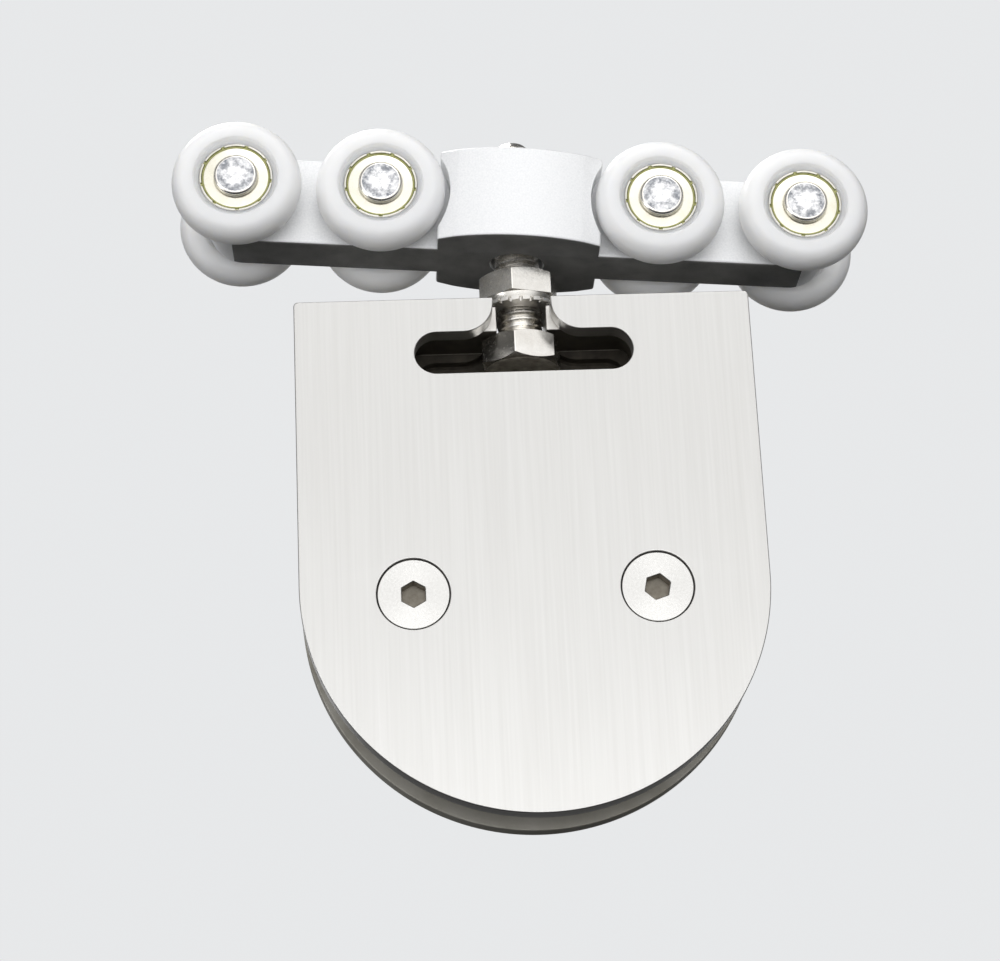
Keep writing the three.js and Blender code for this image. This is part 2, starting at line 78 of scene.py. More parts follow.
# the axles' places along the carriage, from left to right
AXLES = (-WHEEL_FAR, -WHEEL_NEAR, WHEEL_NEAR, WHEEL_FAR)
WHEEL_OFFSET = 9.35
BEARING_HALF_WIDTH = 2.5
AXLE_HOLE_RADIUS = 2.1
BAR_HALF_LENGTH = 56.0
BAR_HALF_THICKNESS = 5.1
BAR_OVER_AXLES = 7.3
BLOCK_OVER_AXLES = 8.0
SEAT_Z = 31.1
SEAT_DOME_RADIUS = 9.0
ROCKER_DOME_RADIUS = 9.3
BOLT_TOP = 54.2
BOLT_HEAD_HEIGHT = 5.3
BOLT_RADIUS = 4.0
SCREW_RADIUS = 3.0
SCREW_LENGTH = 17.6

ENDS = {"front": -1, "back": 1}

# -------------------- values that only the looks have

RACE_OUTSIDE = 6.5
BOLT_PITCH = 1.25
SCREW_PITCH = 1.0
CHAMBER_HALF_LENGTH = SLOT_HALF_LENGTH + 0.6
CHAMBER_BOTTOM = SLOT_BOTTOM - 0.4
SHIELD_RIM_RADIUS = 5.7
AXLE_HEAD_RADIUS = 3.88
AXLE_FACE_RADIUS = 3.3
CREASE_ANGLE = 35  # degrees
MERGE = 1e-7       # metres


# -------------------- outlines

def arc(cx, cy, radius, start, end, steps):
    """Points of an arc between two angles in degrees, both ends included."""
    angles = [math.radians(start + (end - start) * i / steps) for i in range(steps + 1)]
    return [(cx + radius * math.cos(a), cy + radius * math.sin(a)) for a in angles]


def fillet(before, corner, after, radius, steps):
    """Points that round one corner of an outline."""
    p, q, r = Vector(before), Vector(corner), Vector(after)
    one, two = (p - q).normalized(), (r - q).normalized()
    half = one.angle(two) / 2
    if radius <= 0 or half > math.radians(89.5):
        return [tuple(q)]
    reach = min(radius / math.tan(half), 0.49 * (p - q).length, 0.49 * (r - q).length)
    radius = reach * math.tan(half)
    centre = q + (one + two).normalized() * (radius / math.sin(half))
    first, last = q + one * reach - centre, q + two * reach - centre
    turn = first.angle(last)
    points = []
    for i in range(steps + 1):
        t = i / steps
        mix = first * math.sin((1 - t) * turn) + last * math.sin(t * turn)
        points.append(tuple(centre + mix / math.sin(turn)))
    return points


def rounded(points, radius, steps=4, closed=True):
    """Outline with each corner rounded. A point may carry a radius of its own as a third number."""
    out = []
    count = len(points)
    for i, point in enumerate(points):
        own = point[2] if len(point) > 2 else radius
        if not closed and i in (0, count - 1):
            out.append(tuple(point[:2]))
            continue
        out += fillet(points[i - 1][:2], point[:2], points[(i + 1) % count][:2], own, steps)
    return out


def inset(points, distance):
    """Closed anticlockwise outline moved inwards."""
    out = []
    count = len(points)
    for i in range(count):
        p, q, r = Vector(points[i - 1]), Vector(points[i]), Vector(points[(i + 1) % count])
        one, two = (q - p).normalized(), (r - q).normalized()
        side = Vector((-one.y - two.y, one.x + two.x))
        side = side / max(1e-9, side.length)
        stretch = max(0.3, side.dot(Vector((-one.y, one.x))))
        out.append(tuple(q + side * (distance / stretch)))
    return out


def anticlockwise(points):
    area = sum(a[0] * b[1] - b[0] * a[1] for a, b in zip(points, points[1:] + points[:1]))
    return points if area > 0 else points[::-1]


def edge_profile(low, high, radius, steps=3):
    """(inset, height) pairs of a wall between two planes, with its two edges rounded."""
    turns = [math.pi / 2 * i / steps for i in range(steps + 1)]
    lower = [(radius * (1 - math.sin(a)), low + radius * (1 - math.cos(a))) for a in turns]
    upper = [(radius * (1 - math.cos(a)), high - radius * (1 - math.sin(a))) for a in turns]
    return lower + upper


# -------------------- meshes

def mesh_of(name, verts, faces, thin=MERGE, fill=False):
    """Mesh from points in millimetres, cleaned by tidy_mesh."""
    mesh = bpy.data.meshes.new(name)
    mesh.from_pydata([Vector(v) * MM for v in verts], [], faces)
    tidy_mesh(mesh, thin, fill)
    return mesh


def tidy_mesh(mesh, thin=MERGE, fill=False):
    """Merges doubles, drops faces thinner than a limit in metres, can close open ends, turns faces out."""
    work = bmesh.new()
    work.from_mesh(mesh)
    bmesh.ops.remove_doubles(work, verts=work.verts, dist=MERGE)
    bmesh.ops.dissolve_degenerate(work, dist=thin, edges=work.edges)
    if fill:
        bmesh.ops.holes_fill(work, edges=work.edges, sides=0)
    bmesh.ops.recalc_face_normals(work, faces=work.faces)
    work.to_mesh(mesh)
    work.free()
    mesh.validate()


def turned(name, profile, segments=96):
    """Body turned about Y from (radius, y) points. A profile that starts off the axis closes on itself."""
    verts, rows = [], []
    for radius, y in profile:
        if radius < 1e-6:
            rows.append([len(verts)] * segments)
            verts.append((0, y, 0))
            continue
        rows.append(list(range(len(verts), len(verts) + segments)))
        for i in range(segments):
            a = 2 * math.pi * i / segments
            verts.append((radius * math.sin(a), y, radius * math.cos(a)))
    if profile[0][0] > 0:
        rows.append(rows[0])
    faces = []
    for low, high in zip(rows, rows[1:]):
        for i in range(segments):
            j = (i + 1) % segments
            corners = list(dict.fromkeys((low[i], low[j], high[j], high[i])))
            if len(corners) > 2:
                faces.append(corners)
    return mesh_of(name, verts, faces)


def slab(name, outline, profile, holes=(), segments=64):
    """Sheet of an (x, z) outline. profile gives (inset, y) rings of its wall. A hole is
    (x, z, [(radius, y), ...]) with its rings from the first face to the last."""
    outline = anticlockwise(outline)
    loops = [[[(x, y, z) for x, z in inset(outline, d)] for d, y in profile]]
    for cx, cz, rings in holes:
        loops.append([[(x, y, z) for x, z in arc(cx, cz, r, 0, 360 - 360 / segments, segments - 1)]
                      for r, y in rings])
    work = bmesh.new()
    caps = [[], []]
    for rings in loops:
        rows = [[work.verts.new(Vector(p) * MM) for p in ring] for ring in rings]
        for low, high in zip(rows, rows[1:]):
            for i, vert in enumerate(low):
                j = (i + 1) % len(low)
                work.faces.new((vert, low[j], high[j], high[i]))
        for cap, row in zip(caps, (rows[0], rows[-1])):
            cap += [work.edges.get((row[i - 1], row[i])) for i in range(len(row))]
    for cap in caps:
        bmesh.ops.triangle_fill(work, edges=cap, use_beauty=True, use_dissolve=False)
    bmesh.ops.recalc_face_normals(work, faces=work.faces)
    mesh = bpy.data.meshes.new(name)
    work.to_mesh(mesh)
    work.free()
    return mesh


def prism(name, outline, z0, z1):
    """Prism of an (x, y) outline between two heights."""
    count = len(outline)
    verts = [(x, y, z) for z in (z0, z1) for x, y in outline]
    faces = [list(range(count)), list(range(count, 2 * count))]
    faces += [[i, (i + 1) % count, count + (i + 1) % count, count + i] for i in range(count)]
    return mesh_of(name, verts, faces)


def shift(x, y, z):
    """Matrix of a move in millimetres."""
    return Matrix.Translation(Vector((x, y, z)) * MM)


def rotation(degrees, axis="Y"):
    return Matrix.Rotation(math.radians(degrees), 4, axis)


def upright(mesh):
    """A body turned about Y, stood up so that its axis is Z."""
    mesh.transform(rotation(90, "X"))
    return mesh


def turned_up(name, profile, segments=96):
    return upright(turned(name, profile, segments))


def combine(base, tools):
    """Mesh of the base after each (operation, mesh) of the tools. The meshes used up are removed."""
    holder = bpy.data.objects.new("work", base)
    bpy.context.scene.collection.objects.link(holder)
    helpers = []
    for operation, mesh in tools:
        helper = bpy.data.objects.new("tool", mesh)
        bpy.context.scene.collection.objects.link(helper)
        modifier = holder.modifiers.new("join", "BOOLEAN")
        modifier.operation = operation
        modifier.solver = "EXACT"
        modifier.object = helper
        helpers.append(helper)
    result = evaluated(holder)
    for item in [*helpers, holder]:
        data = item.data
        bpy.data.objects.remove(item)
        bpy.data.meshes.remove(data)
    tidy_mesh(result)
    return result


def evaluated(holder):
    """The mesh that an object's modifiers make."""
    bpy.context.view_layer.update()
    graph = bpy.context.evaluated_depsgraph_get()
    return bpy.data.meshes.new_from_object(holder.evaluated_get(graph))


def helix(name, radius, pitch, depth, z0, z1, start_radius, end_radius, segments=64):
    """Threaded rod about Z. Its rows follow the thread, and run into a plain chamfer at both ends."""
    shape = [0, 0, 0.25, 0.62, 1, 1, 1, 0.62, 0.25, 0]
    rows = len(shape)
    first = -rows
    last = int((z1 - z0) / pitch * rows) + rows
    verts, index = [], {}
    for i in range(first, last + 1):
        for j in range(segments):
            z = z0 + pitch * (i / rows + j / segments)
            clipped = min(max(z, z0), z1)
            crest = radius - depth * (1 - shape[i % rows])
            limit = min(start_radius + (clipped - z0), end_radius + (z1 - clipped))
            r = min(crest, limit)
            a = 2 * math.pi * j / segments
            index[i, j] = len(verts)
            verts.append((r * math.cos(a), r * math.sin(a), clipped))
    faces = []
    for i in range(first, last):
        for j in range(segments):
            across = (i, j + 1) if j + 1 < segments else (i + rows, 0)
            above = (across[0] + 1, across[1])
            if above in index:
                faces.append((index[i, j], index[across], index[above], index[i + 1, j]))
    return mesh_of(name, verts, faces, MERGE / 10, fill=True)


def hexagon(flats, turn):
    corner = flats / math.sqrt(3)
    return arc(0, 0, corner, turn - 90, turn + 210, 5)


def hex_body(name, flats, z0, z1, turn, low=True, high=True, cut=0.25):
    """Hexagon prism about Z, chamfered at one end or both down to a circle that lies inside its flats."""
    corner = flats / math.sqrt(3) + 0.01
    face = flats / 2 - cut
    drop = (corner - face) * math.tan(math.radians(30))
    profile = [(0, z0)]
    profile += [(face, z0), (corner, z0 + drop)] if low else [(corner, z0)]
    profile += [(corner, z1 - drop), (face, z1)] if high else [(corner, z1)]
    profile.append((0, z1))
    prism_mesh = prism(name, rounded(hexagon(flats, turn), 0.25, 3), z0, z1)
    return combine(prism_mesh, [("INTERSECT", turned_up("chamfer", profile, 128))])


# -------------------- materials

def new_material(name, color, metallic, roughness, **sockets):
    """Principled material. Every value that is the same all over sits on the shader's own socket."""
    material = bpy.data.materials.new(name)
    material.use_nodes = True
    shader = material.node_tree.nodes["Principled BSDF"]
    shader.inputs["Base Color"].default_value = (*color, 1)
    shader.inputs["Metallic"].default_value = metallic
    shader.inputs["Roughness"].default_value = roughness
    for socket, value in sockets.items():
        shader.inputs[socket.replace("_", " ")].default_value = value
    return material


def noise_at(material, scale, detail, stretch=(1, 1, 1)):
    """Noise whose features are 1/scale millimetres, stretched along each axis of the piece."""
    texture = material.node_tree.nodes.new("ShaderNodeTexNoise")
    texture.inputs["Scale"].default_value = 1.0
    texture.inputs["Detail"].default_value = detail
    texture.inputs["Roughness"].default_value = 0.55
    place_texture(material, texture, [scale * s for s in stretch])
    return texture.outputs["Fac"]


def place_texture(material, texture, scales):
    """Lays a texture out in the piece's own space, by a scale per millimetre along each axis."""
    nodes, links = material.node_tree.nodes, material.node_tree.links
    place = nodes.new("ShaderNodeTexCoord")
    mapping = nodes.new("ShaderNodeMapping")
    mapping.inputs["Scale"].default_value = [s / MM for s in scales]
    links.new(place.outputs["Object"], mapping.inputs["Vector"])
    links.new(mapping.outputs["Vector"], texture.inputs["Vector"])


def lathe_rings(material, pitch):
    """Fine rings about the piece's Y axis, a pitch in millimetres apart."""
    nodes, links = material.node_tree.nodes, material.node_tree.links
    place = nodes.new("ShaderNodeTexCoord")
    wave = nodes.new("ShaderNodeTexWave")
    wave.wave_type = "RINGS"
    wave.rings_direction = "Y"
    wave.inputs["Scale"].default_value = math.pi / (10 * pitch * MM)
    wave.inputs["Distortion"].default_value = 0.6
    links.new(place.outputs["Object"], wave.inputs["Vector"])
    return wave.outputs["Fac"]


def centre_fade(material, radius):
    """Value that falls from 1 on the piece's Y axis to 0 at a radius in millimetres."""
    gradient = material.node_tree.nodes.new("ShaderNodeTexGradient")
    gradient.gradient_type = "SPHERICAL"
    place_texture(material, gradient, (1 / radius, 0, 1 / radius))
    return gradient.outputs["Fac"]


def maths(tree_owner, operation, one, two):
    """Result of a two-value operation."""
    nodes, links = tree_owner.node_tree.nodes, tree_owner.node_tree.links
    node = nodes.new("ShaderNodeMath")
    node.operation = operation
    links.new(one, node.inputs[0])
    links.new(two, node.inputs[1])
    return node.outputs["Value"]


def ramp(tree_owner, value, low, high, start=0.3, end=0.7, shape="LINEAR"):
    """A number's range, start to end, mapped onto another, low to high."""
    nodes, links = tree_owner.node_tree.nodes, tree_owner.node_tree.links
    node = nodes.new("ShaderNodeMapRange")
    node.interpolation_type = shape
    for socket, number in (("From Min", start), ("From Max", end), ("To Min", low), ("To Max", high)):
        node.inputs[socket].default_value = number
    links.new(value, node.inputs["Value"])
    return node.outputs["Result"]


def tint(material, value, dark, light):
    """Base colour between two colours, by a value from 0 to 1."""
    nodes, links = material.node_tree.nodes, material.node_tree.links
    node = nodes.new("ShaderNodeMix")
    node.data_type = "RGBA"
    colours = [s for s in node.inputs if s.type == "RGBA"]
    colours[0].default_value = (*dark, 1)
    colours[1].default_value = (*light, 1)
    links.new(value, node.inputs["Factor"])
    result = [s for s in node.outputs if s.type == "RGBA"][0]
    links.new(result, nodes["Principled BSDF"].inputs["Base Color"])


def roughness_from(material, value):
    material.node_tree.links.new(value, material.node_tree.nodes["Principled BSDF"].inputs["Roughness"])


def bump(material, *layers):
    """Bump from (value, height in millimetres) layers, one over another."""
    nodes, links = material.node_tree.nodes, material.node_tree.links
    last = None
    for value, height in layers:
        node = nodes.new("ShaderNodeBump")
        node.inputs["Strength"].default_value = 1.0
        node.inputs["Distance"].default_value = height * MM
        links.new(value, node.inputs["Height"])
        if last:
            links.new(last, node.inputs["Normal"])
        last = node.outputs["Normal"]
    links.new(last, nodes["Principled BSDF"].inputs["Normal"])


def mottled(name, color, metallic, roughness, shades, dull, relief, grain, stain=None, depth=0, **sockets):
    """Material whose stain shifts its colour between two shades, and whose grain shifts its roughness between
    two values. The grain stands out by relief, the stain by depth, in millimetres. grain and stain say what
    noise_at takes; without a stain the grain does both."""
    material = new_material(name, color, metallic, roughness, **sockets)
    fine = noise_at(material, *grain)
    broad = noise_at(material, *stain) if stain else fine
    tint(material, ramp(material, broad, 0, 1), *shades)
    roughness_from(material, ramp(material, fine, *dull))
    bump(material, (fine, relief), *([(broad, depth)] if depth else []))
    return material


def brushed_stainless():
    """Plates: satin steel with an upright brushed grain of long and short strokes."""
    material = new_material("brushed_stainless", (0.56, 0.555, 0.54), 1.0, 0.36, Anisotropic=0.3)
    fine = noise_at(material, 7.0, 4, (1, 1, 0.01))
    broad = noise_at(material, 1.6, 4, (1, 1, 0.016))
    cloud = noise_at(material, 0.04, 2)
    tint(material, ramp(material, broad, 0, 1, 0.25, 0.75), (0.535, 0.53, 0.517), (0.58, 0.576, 0.564))
    roughness_from(material, ramp(material, fine, 0.32, 0.42))
    bump(material, (fine, 0.0016), (broad, 0.002), (cloud, 0.01))
    return material


def plate_side_shade():
    """Inner faces of the plates and the back plate's edges: dull steel, painted darker and warmer as painted
    shade of the gap between the plates.
    """
    return mottled("plate_side_shade", (0.40, 0.385, 0.34), 0.35, 0.55, ((0.34, 0.325, 0.28), (0.47, 0.455, 0.41)),
                   dull=(0.5, 0.7), relief=0.02, grain=(1.2, 5), stain=(0.12, 4))


def end_shade():
    """End of the bolt's head: forged and dull, painted dark brown as painted shade; the screws' sockets take
    it too.
    """
    return mottled("end_shade", (0.30, 0.27, 0.22), 0.3, 0.6, ((0.20, 0.175, 0.14), (0.42, 0.39, 0.33)),
                   dull=(0.5, 0.7), relief=0.03, grain=(0.8, 5))


def turned_steel():
    """Block, washers and bush: plain steel, machined, slightly dull."""
    return mottled("plain_steel", (0.66, 0.645, 0.62), 1.0, 0.34, ((0.56, 0.54, 0.51), (0.70, 0.69, 0.66)),
                   dull=(0.26, 0.44), relief=0.006, grain=(3.0, 4, (1, 1, 0.2)), stain=(0.25, 4))


def bright_steel():
    """Nut, bolt and axles: bright steel with faint tool marks."""
    return mottled("bright_steel", (0.80, 0.78, 0.74), 1.0, 0.2, ((0.80, 0.77, 0.72), (0.92, 0.90, 0.86)),
                   dull=(0.14, 0.30), relief=0.004, grain=(2.4, 5), stain=(0.35, 3), depth=0.01)


def screw_steel():
    """Clamp screws: faced steel, cleaner and a little duller than the bolt."""
    material = new_material("screw_steel", (0.60, 0.595, 0.58), 1.0, 0.24)
    marks = noise_at(material, 2.4, 5)
    rings = lathe_rings(material, 0.12)
    tint(material, ramp(material, marks, 0, 1), (0.575, 0.567, 0.55), (0.63, 0.625, 0.61))
    roughness_from(material, ramp(material, marks, 0.18, 0.26))
    bump(material, (rings, 0.004), (marks, 0.002))
    return material


def peened_steel():
    """Riveted heads of the axles: hammered bright steel, with a painted highlight that is brightest in the
    middle.
    """
    material = new_material("peened_steel", (0.82, 0.82, 0.81), 1.0, 0.22)
    dents = noise_at(material, 1.1, 4)
    blotches = ramp(material, dents, 0, 1, 0.36, 0.70)
    # painted highlight: the face is lighter towards its middle
    painted_highlight = ramp(material, centre_fade(material, AXLE_FACE_RADIUS), 0, 0.8, 0.2, 0.8)
    tint(material, maths(material, "ADD", blotches, painted_highlight), (0.20, 0.21, 0.23), (0.74, 0.74, 0.75))
    roughness_from(material, ramp(material, dents, 0.18, 0.36))
    bump(material, (noise_at(material, 3.0, 3), 0.02))
    return material


def cast_paint():
    """Carriage: silver-white coated casting with a fine grain."""
    material = new_material("cast_paint", (0.86, 0.87, 0.885), 0.25, 0.5, Coat_Weight=0.08,
                            Coat_Roughness=0.4)
    grain = noise_at(material, 3.2, 5)
    lumps = noise_at(material, 0.5, 3)
    tint(material, ramp(material, grain, 0, 1), (0.80, 0.81, 0.825), (0.90, 0.905, 0.915))
    roughness_from(material, ramp(material, grain, 0.42, 0.60))
    bump(material, (grain, 0.03), (lumps, 0.05))
    return material


def underside_shade():
    """Underside of the carriage: the casting painted dark grey, as painted shade on the faces that look down.
    """
    return mottled("underside_shade", (0.20, 0.20, 0.195), 0.2, 0.65, ((0.15, 0.15, 0.148), (0.24, 0.24, 0.235)),
                   dull=(0.5, 0.7), relief=0.05, grain=(3.2, 5), stain=(0.15, 3))


def nylon():
    """Tyres: moulded white nylon, half matte, light passing a little way into it."""
    return mottled("white_nylon", (0.93, 0.93, 0.92), 0.0, 0.38, ((0.91, 0.91, 0.895), (0.95, 0.95, 0.94)),
                   dull=(0.32, 0.46), relief=0.006, grain=(4.0, 4), stain=(0.12, 2), IOR=1.53,
                   Subsurface_Weight=1.0, Subsurface_Scale=0.007, Subsurface_Radius=(1.0, 0.97, 0.9))


def shield_steel():
    """Bearing shields: pressed steel with a faint yellow passivated coat."""
    return mottled("bearing_shield", (0.88, 0.85, 0.74), 1.0, 0.3, ((0.72, 0.69, 0.58), (0.78, 0.76, 0.68)),
                   dull=(0.24, 0.38), relief=0.004, grain=(3.0, 4), stain=(0.4, 3))


def shield_rim():
    """Rim of a shield: darker brassy olive steel. The race's crimps take it too, as painted shade in their
    dents.
    """
    return mottled("shield_rim", (0.42, 0.42, 0.16), 0.7, 0.45, ((0.27, 0.28, 0.10), (0.44, 0.44, 0.20)),
                   dull=(0.4, 0.55), relief=0.01, grain=(1.5, 3))


def slot_shade_steel():
    """Insides of the T-slot: unpolished steel painted brown-black, as painted shade in the slot."""
    return mottled("slot_shade_steel", (0.07, 0.06, 0.05), 0.4, 0.6, ((0.045, 0.038, 0.03), (0.10, 0.09, 0.07)),
                   dull=(0.5, 0.75), relief=0.03, grain=(0.6, 5))


def race_steel():
    """Bearing races and balls: ground steel."""
    return mottled("bearing_steel", (0.60, 0.59, 0.54), 1.0, 0.2, ((0.56, 0.55, 0.50), (0.64, 0.63, 0.58)),
                   dull=(0.15, 0.28), relief=0.002, grain=(6.0, 3))


def black_rubber():
    """Gaskets: matte black rubber."""
    material = new_material("black_rubber", (0.03, 0.03, 0.03), 0.0, 0.8)
    grain = noise_at(material, 4.0, 4)
    dust = noise_at(material, 0.4, 4)
    tint(material, ramp(material, dust, 0, 1), (0.022, 0.022, 0.023), (0.05, 0.05, 0.05))
    roughness_from(material, ramp(material, dust, 0.7, 0.9))
    bump(material, (grain, 0.02))
    return material


def sleeve_plastic():
    """Sleeves round the clamp screws: pale moulded plastic."""
    return mottled("sleeve_plastic", (0.80, 0.81, 0.79), 0.0, 0.4, ((0.76, 0.77, 0.75), (0.83, 0.84, 0.82)),
                   dull=(0.34, 0.5), relief=0.008, grain=(3.0, 4), Subsurface_Weight=0.2,
                   Subsurface_Scale=0.001)


LOOKS = {
    "satin_stainless": brushed_stainless(),
    "plate_side_shade": plate_side_shade(),
    "end_shade": end_shade(),
    "plain_steel": turned_steel(),
    "polished_steel": bright_steel(),
    "screw": screw_steel(),
    "peened": peened_steel(),
    "silver_casting": cast_paint(),
    "underside_shade": underside_shade(),
    "white_nylon": nylon(),
    "bearing_shield": shield_steel(),
    "shield_rim": shield_rim(),
    "slot_shade": slot_shade_steel(),
    "bearing_steel": race_steel(),
    "black_rubber": black_rubber(),
    "clear_sleeve": sleeve_plastic(),
}


# -------------------- places

def centre_of(node):
    low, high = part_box(node)
    return (low + high) / 2


def carriage_frame():
    """Matrix of the carriage's own frame. Its origin is the seat's centre, level with the underside."""
    one, four = centre_of("axle_1"), centre_of("axle_4")
    along = (four - one).normalized()
    across = Vector((0, 1, 0))
    up = along.cross(across).normalized()
    origin = (one + four) / 2 - up * AXLE_OVER_FLOOR * MM
    return Matrix.Translation(origin) @ Matrix((along, across, up)).transposed().to_4x4()


CARRIAGE = carriage_frame()


def wheel_frame(side, along):
    """Matrix of a wheel: +Y points out of the carriage, the origin is the bearing's middle."""
    place = CARRIAGE @ shift(along, side * WHEEL_OFFSET, AXLE_OVER_FLOOR)
    return place @ rotation(180, "Z") if side < 0 else place


def show(name, mesh, body, nodes, slot, matrix=None):
    """Shows a mesh as a piece that rides on a body and stands for CAD nodes."""
    if not mesh.materials:
        mesh.materials.append(LOOKS[slot])
    mesh.shade_smooth()
    mesh.set_sharp_from_angle(angle=math.radians(CREASE_ANGLE))
    piece = bpy.data.objects.new(name, mesh)
    bpy.context.scene.collection.objects.link(piece)
    if matrix is not None:
        piece.matrix_world = matrix
    weighted = piece.modifiers.new("even_normals", "WEIGHTED_NORMAL")
    weighted.keep_sharp = True
    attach(piece, body)
    if nodes:
        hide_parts(*nodes)


def stand_in(node, mesh, body, slot, matrix=None):
    """Shows a mesh in the place of one CAD node."""
    show(f"{node}_fine", mesh, body, [node], slot, matrix)


def painted(mesh, look, *rules):
    """Gives a mesh a look, and others to the faces that pass (look, test) rules. The last match wins."""
    for name in (look, *[rule[0] for rule in rules]):
        mesh.materials.append(LOOKS[name])
    for face in mesh.polygons:
        middle = face.center / MM
        hits = [i + 1 for i, (_, test) in enumerate(rules) if test(middle, face.normal)]
        face.material_index = hits[-1] if hits else 0
    return mesh


def within(x, z, y):
    """Test of a face's middle against ranges of |x|, z and y."""
    def test(middle, _):
        pairs = ((abs(middle.x), x), (middle.z, z), (middle.y, y))
        return all(low < value < high for value, (low, high) in pairs)

    return test


def off_axis(point):
    """Distance of a point from the piece's Y axis."""
    return math.hypot(point.x, point.z)


# -------------------- wheels

def tyre_mesh():
    """Tyre with a rounded tread, and a step down to a flat lip round the bearing."""
    side = WHEEL_HALF_WIDTH
    tread_edge = 8.9
    step_outside, step_inside, bore = 7.5, 7.25, 6.55
    step = BEARING_HALF_WIDTH + 0.1
    crown = []
    steps = 20
    for i in range(1, steps):
        a = math.radians(-90 + 180 * i / steps)
        out = abs(math.cos(a)) ** 0.9
        crown.append((tread_edge + (WHEEL_RADIUS - tread_edge) * out, side * math.sin(a), 0))
    outer = [(step_outside, side, 0.3), (step_inside, step, 0.12), (bore, BEARING_HALF_WIDTH, 0.05)]
    inner = [(r, -y, rounding) for r, y, rounding in reversed(outer)]
    profile = [(tread_edge, -side, 0), *crown, (tread_edge, side, 0), *outer, *inner]
    return turned("tyre", rounded(profile, 0), 160)


def race_mesh():
    """Outer race with a seat for the shield, and the shield's nine crimps in its inner rim."""
    half = BEARING_HALF_WIDTH
    lip, seat, track = 6.12, 6.02, 5.3
    upper = [(RACE_OUTSIDE, half, 0.15), (lip, half, 0.05), (seat, half - 0.28, 0), (track, half - 0.5, 0)]
    lower = [(r, -y, rounding) for r, y, rounding in reversed(upper)]
    profile = [lower[-1], *upper, *lower[:-1]]
    mesh = turned("outer_race", rounded(profile, 0, 3), 216)
    crimps = 9
    crimp_width = math.radians(2.6)
    crimp_reach = 1.035
    crimp_depth = 0.16

    def near_crimp(point, width):
        angle = math.atan2(point.x, point.z) * crimps / (2 * math.pi)
        return abs(angle - round(angle)) * 2 * math.pi / crimps < width

    for vert in mesh.vertices:
        on_lip = 6.0 < off_axis(vert.co) / MM < 6.2 and abs(vert.co.y) > (half - 0.15) * MM
        if on_lip and near_crimp(vert.co, crimp_width):
            vert.co.x *= crimp_reach
            vert.co.z *= crimp_reach
            vert.co.y -= math.copysign(crimp_depth * MM, vert.co.y)

    def in_crimp(at, _):
        return near_crimp(at, 1.3 * crimp_width) and 5.9 < off_axis(at) < 6.35 and abs(at.y) > half - 0.35

    # the crimps' faces take the dark olive rim look: painted shade in the dents
    return painted(mesh, "bearing_steel", ("shield_rim", in_crimp))


def shield_mesh():
    """Pressed shield: a rolled brassy rim, a shallow dish and a turned-in inner edge."""
    face = BEARING_HALF_WIDTH - 0.12
    profile = [(6.0, face - 0.2, 0.05), (5.98, face, 0.08), (5.82, face, 0.04), (5.72, face - 0.14, 0.04),
               (5.55, face - 0.1, 0.05), (4.1, face + 0.04, 0.1), (3.45, face, 0.08), (3.4, face - 0.3, 0.05),
               (3.7, face - 0.32, 0.05), (5.6, face - 0.42, 0.05)]
    mesh = turned("shield", rounded(profile, 0, 3), 144)
    return painted(mesh, "bearing_shield", ("shield_rim", lambda at, _: off_axis(at) > SHIELD_RIM_RADIUS))


def inner_race_mesh():
    half = BEARING_HALF_WIDTH
    bore, outside, groove_depth = AXLE_HOLE_RADIUS, 3.1, 0.45
    turns = [math.radians(a) for a in range(-60, 61, 20)]
    groove = [(outside - groove_depth * math.cos(a), math.sin(a), 0) for a in turns]
    profile = [(bore, -half, 0.15), (outside, -half, 0.1), *groove, (outside, half, 0.1), (bore, half, 0.15)]
    return turned("inner_race", rounded(profile, 0, 2))


def cage_mesh():
    """Seven balls in a ribbon cage, as one piece."""
    circle, ball, count = 4.2, 0.95, 7
    work = bmesh.new()
    for i in range(count):
        a = 2 * math.pi * i / count
        place = shift(circle * math.sin(a), 0, circle * math.cos(a))
        bmesh.ops.create_uvsphere(work, u_segments=28, v_segments=16, radius=ball * MM, matrix=place)
    balls = bpy.data.meshes.new("balls")
    work.to_mesh(balls)
    work.free()
    inside, outside, half = circle - 0.5, circle + 0.5, 0.28
    corners = [(inside, -half), (outside, -half), (outside, half), (inside, half)]
    return combine(turned("ribbon", rounded(corners, 0.1, 2)), [("UNION", balls)])


def axle_mesh():
    """Axle with a riveted head at each end. The heads' rims are chamfered and their faces hammered."""
    shank = 2.0
    head_height = 1.25
    head_from = WHEEL_OFFSET + BEARING_HALF_WIDTH + 0.1
    top = head_from + head_height
    rim, face = AXLE_HEAD_RADIUS, AXLE_FACE_RADIUS
    half = [(shank, head_from), (rim - 0.12, head_from), (rim, head_from + 0.12), (rim, top - 0.52),
            (rim - 0.06, top - 0.38), (rim - 0.2, top - 0.2), (face + 0.14, top - 0.05), (face, top - 0.04)]
    rings = 16
    half += [(face * (1 - (i + 1) / rings), top - 0.1) for i in range(rings)]
    mirrored = [(r, -y) for r, y in reversed(half)]
    mesh = turned("axle", mirrored + half)
    dent_depth, swell, fade_width = 0.09, 0.03, 0.35
    for vert in mesh.vertices:
        radius = off_axis(vert.co) / MM
        if radius < face - 0.05 and abs(vert.co.y) > (top - 0.3) * MM:
            at = Vector((vert.co.x, vert.co.z, vert.co.y * 3)) / MM
            dent = noise.fractal(at * 1.5, 0.6, 2.2, 3) * dent_depth
            fade = min(1.0, (face - radius) / fade_width)
            vert.co.y += math.copysign((dent + swell) * fade * MM, vert.co.y)
    return painted(mesh, "polished_steel",
                   ("peened", lambda at, _: off_axis(at) < face and abs(at.y) > top - 0.5))


